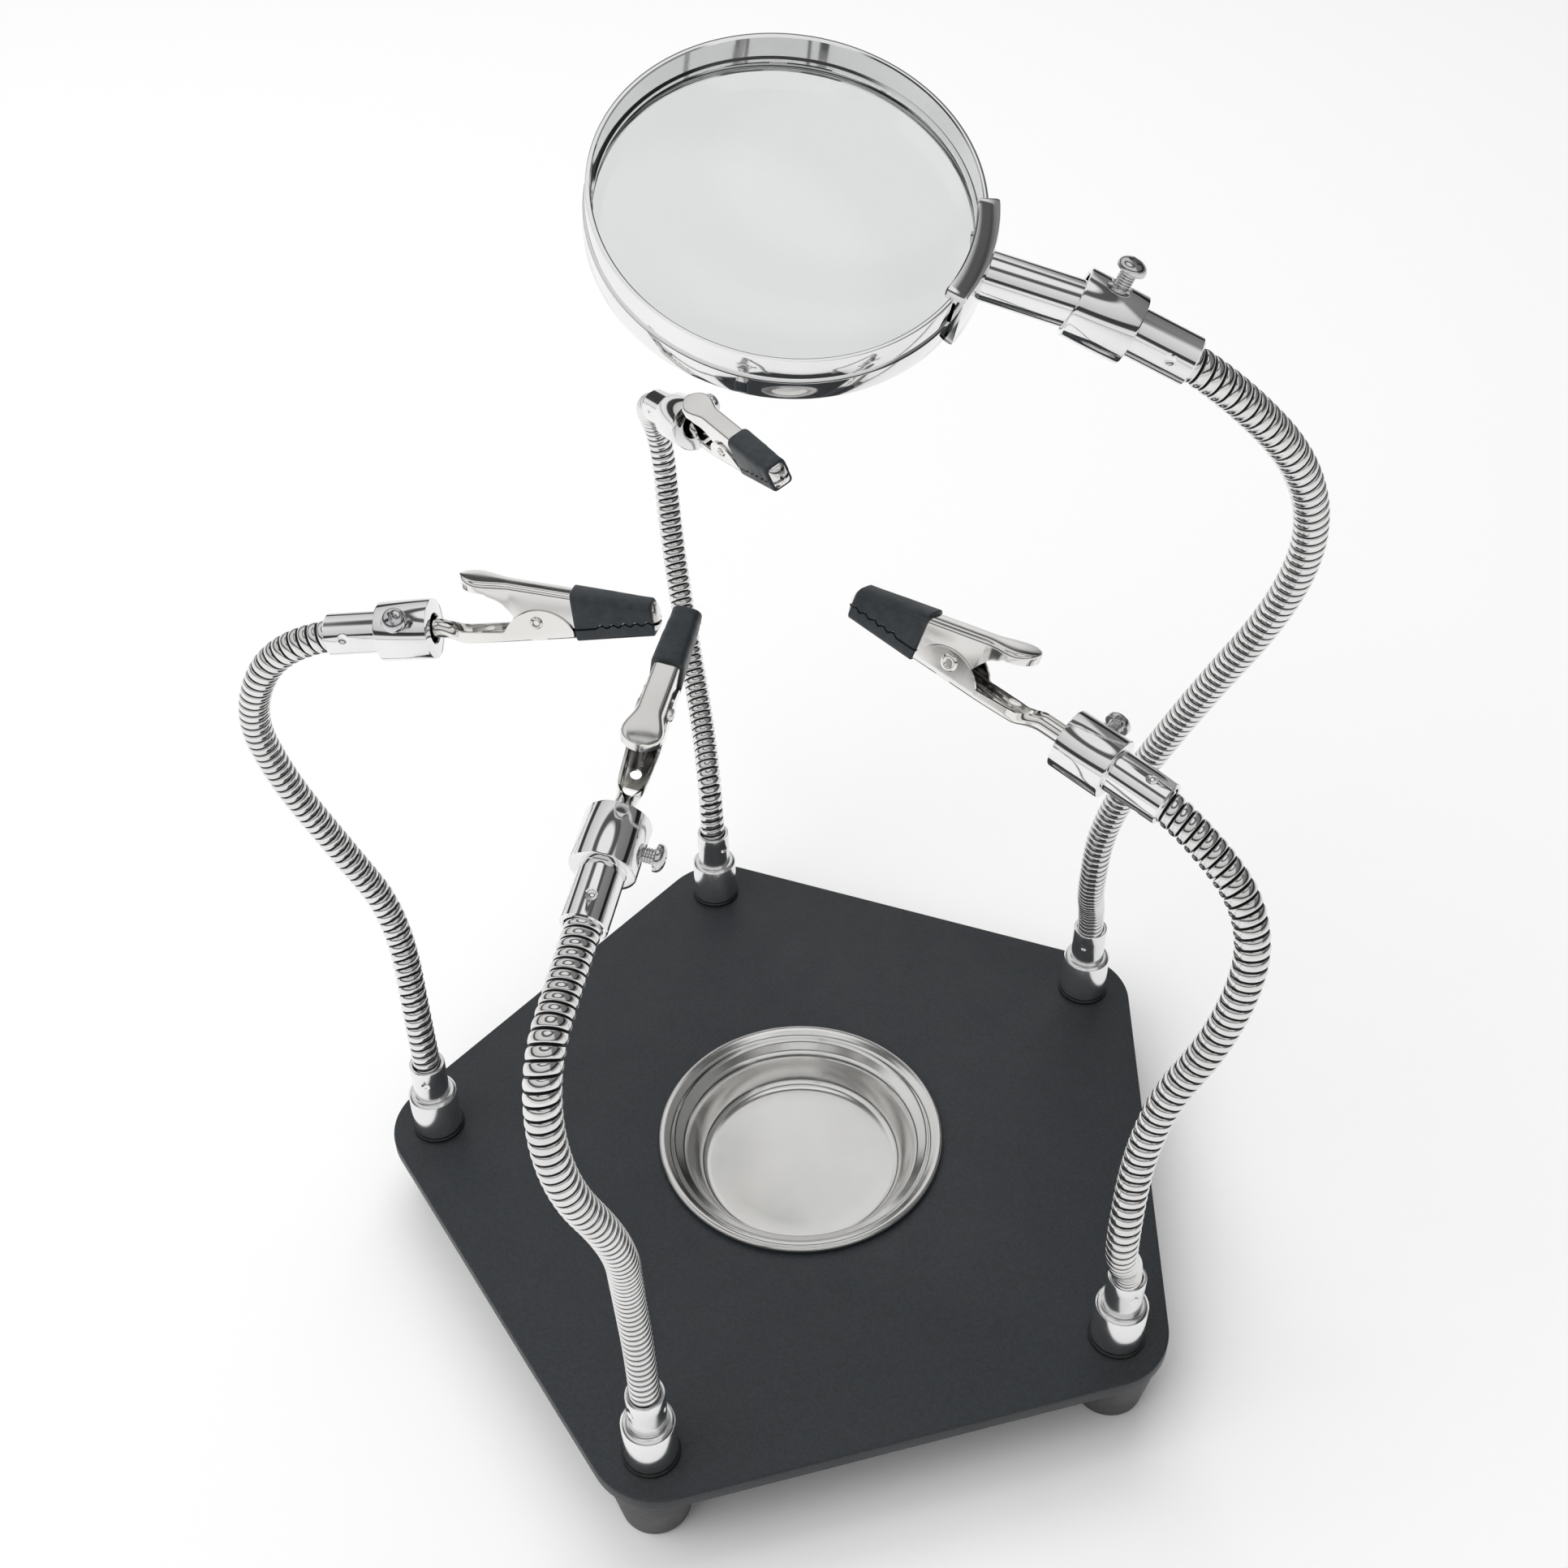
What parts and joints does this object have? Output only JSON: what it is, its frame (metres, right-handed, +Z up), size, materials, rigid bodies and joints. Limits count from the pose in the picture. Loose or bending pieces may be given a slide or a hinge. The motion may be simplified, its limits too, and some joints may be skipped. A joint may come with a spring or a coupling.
{
  "type": "helping hands clamp",
  "caption": "Bench helping hands: heavy base on rubber feet with flexible goosenecks that carry rubber-booted alligator clips and a magnifier, round a drop-in parts tray.",
  "frame": {"origin": "the middle of the base plate, on the bench that the feet stand on", "axes": "+Z up, +X to the user's right, -Y towards the user"},
  "size_m": [0.2198, 0.2619, 0.2935],
  "materials": {
    "powder_coat": "matt, finely textured",
    "tray_steel": "satin",
    "foot_rubber": "matt",
    "screw_steel": "polished",
    "black_washer": "matt",
    "gooseneck_steel": "polished, wound from strip",
    "chrome_fittings": "polished",
    "clip_steel": "bright nickel plating",
    "spring_steel": "satin",
    "boot_rubber": "semi-matt",
    "lens_glass": "polished"
  },
  "bodies": {
    "base": {"base_plate": "powder_coat", "rubber_feet": "foot_rubber", "foot_screws": "screw_steel", "post_washers": "black_washer", "gooseneck_roots": "gooseneck_steel", "post_front": "chrome_fittings", "post_right": "chrome_fittings", "post_magnifier": "chrome_fittings", "post_back": "chrome_fittings", "post_left": "chrome_fittings"},
    "tray": {"parts_tray": "tray_steel"},
    "arm_front": {"gooseneck_front_middle": "gooseneck_steel"},
    "tip_front": {"gooseneck_front_upper": "gooseneck_steel", "connector_front": "chrome_fittings"},
    "screw_front": {"clamp_screw_front": "screw_steel"},
    "clip_front": {"lower_jaw_front": "clip_steel", "lower_boot_front": "boot_rubber", "rivet_front": "clip_steel", "spring_front": "spring_steel"},
    "jaw_front": {"upper_jaw_front": "clip_steel", "upper_boot_front": "boot_rubber"},
    "arm_right": {"gooseneck_right_middle": "gooseneck_steel"},
    "tip_right": {"gooseneck_right_upper": "gooseneck_steel", "connector_right": "chrome_fittings"},
    "screw_right": {"clamp_screw_right": "screw_steel"},
    "clip_right": {"lower_jaw_right": "clip_steel", "lower_boot_right": "boot_rubber", "rivet_right": "clip_steel", "spring_right": "spring_steel"},
    "jaw_right": {"upper_jaw_right": "clip_steel", "upper_boot_right": "boot_rubber"},
    "arm_magnifier": {"gooseneck_magnifier_middle": "gooseneck_steel"},
    "tip_magnifier": {"gooseneck_magnifier_upper": "gooseneck_steel", "connector_magnifier": "chrome_fittings"},
    "screw_magnifier": {"clamp_screw_magnifier": "screw_steel"},
    "magnifier": {"magnifier_handle": "chrome_fittings", "magnifier_clasp": "chrome_fittings", "magnifier_ring": "chrome_fittings", "magnifier_lens": "lens_glass"},
    "arm_back": {"gooseneck_back_middle": "gooseneck_steel"},
    "tip_back": {"gooseneck_back_upper": "gooseneck_steel", "connector_back": "chrome_fittings"},
    "screw_back": {"clamp_screw_back": "screw_steel"},
    "clip_back": {"lower_jaw_back": "clip_steel", "lower_boot_back": "boot_rubber", "rivet_back": "clip_steel", "spring_back": "spring_steel"},
    "jaw_back": {"upper_jaw_back": "clip_steel", "upper_boot_back": "boot_rubber"},
    "arm_left": {"gooseneck_left_middle": "gooseneck_steel"},
    "tip_left": {"gooseneck_left_upper": "gooseneck_steel", "connector_left": "chrome_fittings"},
    "screw_left": {"clamp_screw_left": "screw_steel"},
    "clip_left": {"lower_jaw_left": "clip_steel", "lower_boot_left": "boot_rubber", "rivet_left": "clip_steel", "spring_left": "spring_steel"},
    "jaw_left": {"upper_jaw_left": "clip_steel", "upper_boot_left": "boot_rubber"}
  },
  "joints": [
    {"name": "parts_tray_lift", "type": "slide", "parent": "base", "child": "tray", "axis": [0, 0, 1], "range_m": [0, 0.03]},
    {"name": "gooseneck_front_lower_bend", "type": "hinge", "parent": "base", "child": "arm_front", "pos_m": [-0.05825, -0.0835, 0.10125], "axis": [0.8215, -0.558, -0.1175], "range_deg": [-8, 35]},
    {"name": "gooseneck_front_upper_bend", "type": "hinge", "parent": "arm_front", "child": "tip_front", "pos_m": [-0.0695, -0.089, 0.15375], "axis": [0.8816, -0.4617, 0.0982], "range_deg": [-30, 30]},
    {"name": "clip_front_roll", "type": "hinge", "parent": "tip_front", "child": "clip_front", "pos_m": [-0.0456, -0.043, 0.1805], "axis": [0.4634, 0.8465, 0.2622], "range_deg": [-90, 90]},
    {"name": "clamp_screw_front_travel", "type": "slide", "parent": "tip_front", "child": "screw_front", "axis": [0.8842, -0.4219, -0.2006], "range_m": [0, 0.0025]},
    {"name": "jaw_front_open", "type": "hinge", "parent": "clip_front", "child": "jaw_front", "pos_m": [-0.03413, -0.02253, 0.18799], "axis": [0.8842, -0.4219, -0.2006], "range_deg": [0, 22], "stiffness_Nm_per_rad": 0.15, "springref_deg": -22.92},
    {"name": "gooseneck_right_lower_bend", "type": "hinge", "parent": "base", "child": "arm_right", "pos_m": [0.04675, -0.088, 0.09325], "axis": [0.7916, 0.5262, -0.3107], "range_deg": [-8, 35]},
    {"name": "gooseneck_right_upper_bend", "type": "hinge", "parent": "arm_right", "child": "tip_right", "pos_m": [0.06625, -0.08325, 0.14825], "axis": [0.7932, 0.5653, -0.2264], "range_deg": [-30, 30]},
    {"name": "clip_right_roll", "type": "hinge", "parent": "tip_right", "child": "clip_right", "pos_m": [0.0423, -0.043, 0.1805], "axis": [-0.57, 0.7962, 0.2028], "range_deg": [-90, 90]},
    {"name": "clamp_screw_right_travel", "type": "slide", "parent": "tip_right", "child": "screw_right", "axis": [0.8175, 0.5249, 0.2369], "range_m": [0, 0.0025]},
    {"name": "jaw_right_open", "type": "hinge", "parent": "clip_right", "child": "jaw_right", "pos_m": [0.02718, -0.02133, 0.18705], "axis": [0.7431, 0.6049, -0.2863], "range_deg": [0, 22], "stiffness_Nm_per_rad": 0.15, "springref_deg": -22.92},
    {"name": "gooseneck_magnifier_lower_bend", "type": "hinge", "parent": "base", "child": "arm_magnifier", "pos_m": [0.0815, 0.0135, 0.0905], "axis": [-0.3172, 0.9371, 0.1456], "range_deg": [-8, 25]},
    {"name": "gooseneck_magnifier_upper_bend", "type": "hinge", "parent": "arm_magnifier", "child": "tip_magnifier", "pos_m": [0.09525, -0.02975, 0.20925], "axis": [0.4484, 0.8517, 0.2713], "range_deg": [-15, 30]},
    {"name": "magnifier_roll", "type": "hinge", "parent": "tip_magnifier", "child": "magnifier", "pos_m": [0.045, -0.021, 0.2605], "axis": [-0.8056, 0.4411, 0.3955], "range_deg": [-90, 90]},
    {"name": "clamp_screw_magnifier_travel", "type": "slide", "parent": "tip_magnifier", "child": "screw_magnifier", "axis": [0.3875, -0.1128, 0.915], "range_m": [0, 0.0025]},
    {"name": "gooseneck_back_lower_bend", "type": "hinge", "parent": "base", "child": "arm_back", "pos_m": [0.00325, 0.1275, 0.0795], "axis": [-0.9999, 0.0125, 0.0119], "range_deg": [-8, 35]},
    {"name": "gooseneck_back_upper_bend", "type": "hinge", "parent": "arm_back", "child": "tip_back", "pos_m": [0.0045, 0.161, 0.12475], "axis": [-0.9746, -0.1907, 0.1176], "range_deg": [-30, 30]},
    {"name": "clip_back_roll", "type": "hinge", "parent": "tip_back", "child": "clip_back", "pos_m": [0.0058, 0.1225, 0.1641], "axis": [0.2318, -0.951, 0.2045], "range_deg": [-90, 90]},
    {"name": "clamp_screw_back_travel", "type": "slide", "parent": "tip_back", "child": "screw_back", "axis": [0.9035, 0.2884, 0.3171], "range_m": [0, 0.0025]},
    {"name": "jaw_back_open", "type": "hinge", "parent": "clip_back", "child": "jaw_back", "pos_m": [0.01067, 0.10103, 0.16976], "axis": [-0.9035, -0.2884, -0.3171], "range_deg": [0, 22], "stiffness_Nm_per_rad": 0.15, "springref_deg": -22.92},
    {"name": "gooseneck_left_lower_bend", "type": "hinge", "parent": "base", "child": "arm_left", "pos_m": [-0.09625, 0.04825, 0.0945], "axis": [-0.327, -0.9443, 0.0371], "range_deg": [-8, 35]},
    {"name": "gooseneck_left_upper_bend", "type": "hinge", "parent": "arm_left", "child": "tip_left", "pos_m": [-0.11275, 0.0495, 0.141], "axis": [-0.3365, -0.9197, -0.2024], "range_deg": [-30, 30]},
    {"name": "clip_left_roll", "type": "hinge", "parent": "tip_left", "child": "clip_left", "pos_m": [-0.071, 0.029, 0.179], "axis": [0.9256, -0.3553, 0.1305], "range_deg": [-90, 90]},
    {"name": "clamp_screw_left_travel", "type": "slide", "parent": "tip_left", "child": "screw_left", "axis": [-0.3291, -0.5848, 0.7414], "range_m": [0, 0.0025]},
    {"name": "jaw_left_open", "type": "hinge", "parent": "clip_left", "child": "jaw_left", "pos_m": [-0.04956, 0.02105, 0.18309], "axis": [-0.3769, -0.8973, 0.2298], "range_deg": [0, 22], "stiffness_Nm_per_rad": 0.15, "springref_deg": -22.92}
  ]
}
